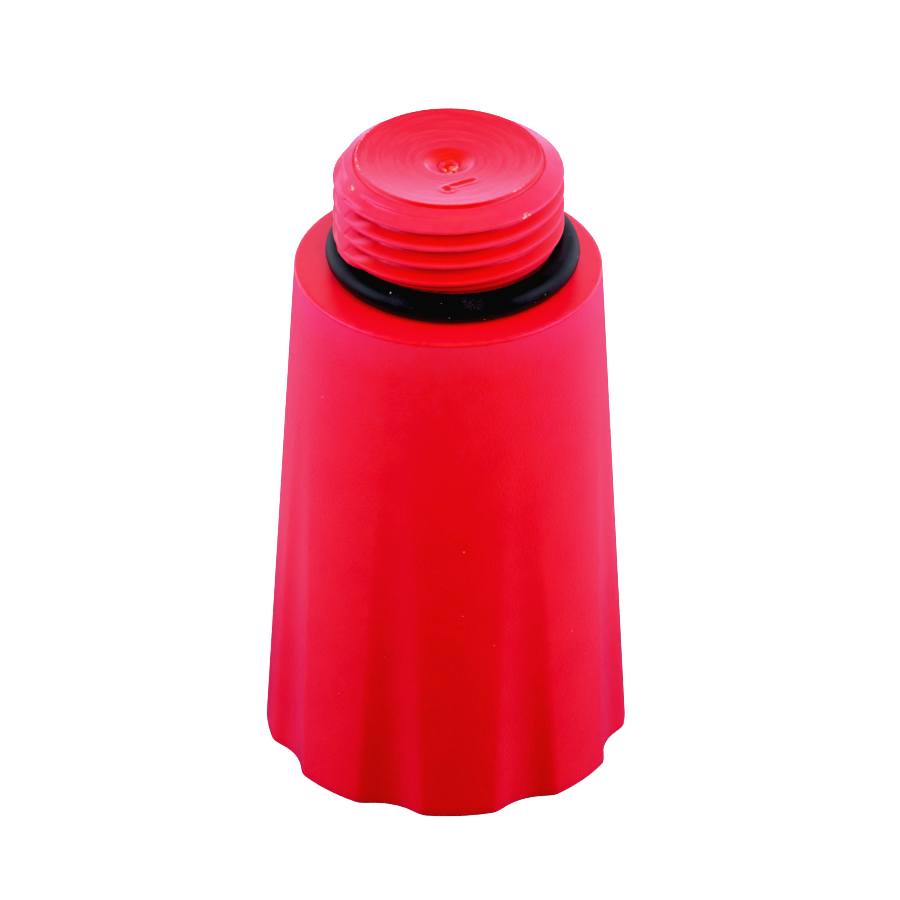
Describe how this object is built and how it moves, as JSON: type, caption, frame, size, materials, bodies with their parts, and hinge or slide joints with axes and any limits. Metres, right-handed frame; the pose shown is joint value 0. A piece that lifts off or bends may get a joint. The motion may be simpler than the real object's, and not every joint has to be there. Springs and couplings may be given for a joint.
{
  "type": "pipe test plug",
  "caption": "Long hand-tight test plug with a male pipe thread, a fluted hollow conical grip and a rubber sealing ring on its shoulder.",
  "frame": {"origin": "centre of the open rim that the plug stands on", "axes": "+Z along the plug's axis from the open rim to the dished end of the thread, -Y towards the front"},
  "size_m": [0.0336, 0.0336, 0.0612],
  "materials": {
    "plug_plastic": "moulded red polyethylene, fine matte texture on the grip and gloss on the shoulder, thread and end face",
    "ring_rubber": "matte black nitrile rubber"
  },
  "bodies": {
    "plug": {"plug_body": "plug_plastic"},
    "seal": {"o_ring": "ring_rubber"}
  },
  "joints": [
    {"name": "o_ring_float", "type": "slide", "parent": "plug", "child": "seal", "axis": [0, 0, 1], "range_m": [0, 0.0002]}
  ]
}
